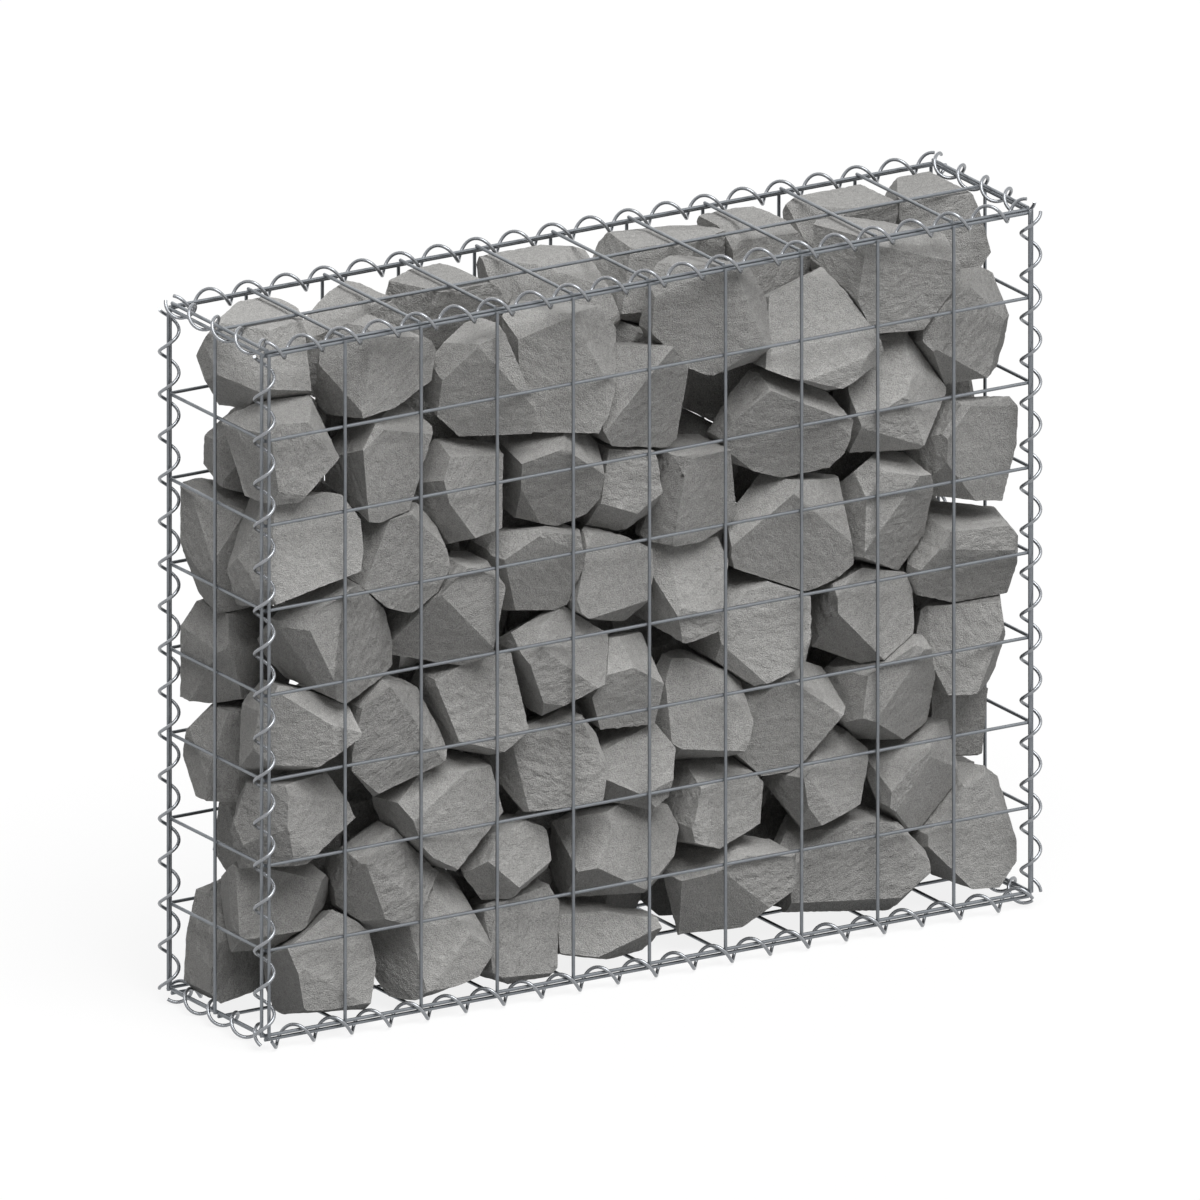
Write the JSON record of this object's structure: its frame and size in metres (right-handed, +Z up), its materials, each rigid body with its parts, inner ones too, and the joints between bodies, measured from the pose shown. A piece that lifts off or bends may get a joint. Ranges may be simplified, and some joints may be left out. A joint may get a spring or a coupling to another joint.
{
  "type": "gabion wall",
  "caption": "Freestanding gabion wall: a welded wire mesh basket laced with spiral wire along its edges and filled with angular broken stone.",
  "frame": {"origin": "middle of the footprint, on the ground plane under the lowest spirals", "axes": "+X along the wall, -Y towards the viewed front, +Z up"},
  "size_m": [1.034, 0.2308, 0.8359],
  "materials": {
    "mesh_wire": "galvanised, dull",
    "spiral_wire": "galvanised, bright drawn wire",
    "stone": "rough split faces"
  },
  "bodies": {
    "root": {"front_panel": "mesh_wire", "back_panel": "mesh_wire", "left_panel": "mesh_wire", "right_panel": "mesh_wire", "floor_panel": "mesh_wire", "lid_panel": "mesh_wire", "spiral_lid_front": "spiral_wire", "spiral_lid_back": "spiral_wire", "spiral_lid_left": "spiral_wire", "spiral_lid_right": "spiral_wire", "spiral_floor_front": "spiral_wire", "spiral_floor_back": "spiral_wire", "spiral_floor_left": "spiral_wire", "spiral_floor_right": "spiral_wire", "spiral_front_left": "spiral_wire", "spiral_front_right": "spiral_wire", "spiral_back_left": "spiral_wire", "spiral_back_right": "spiral_wire", "front_stones_1": "stone", "front_stones_2": "stone", "front_stones_3": "stone", "front_stones_4": "stone", "front_stones_5": "stone", "front_stones_6": "stone", "front_stones_7": "stone", "front_stones_8": "stone", "back_stones_1": "stone", "back_stones_2": "stone", "back_stones_3": "stone", "back_stones_4": "stone", "back_stones_5": "stone", "back_stones_6": "stone", "back_stones_7": "stone"}
  },
  "joints": []
}
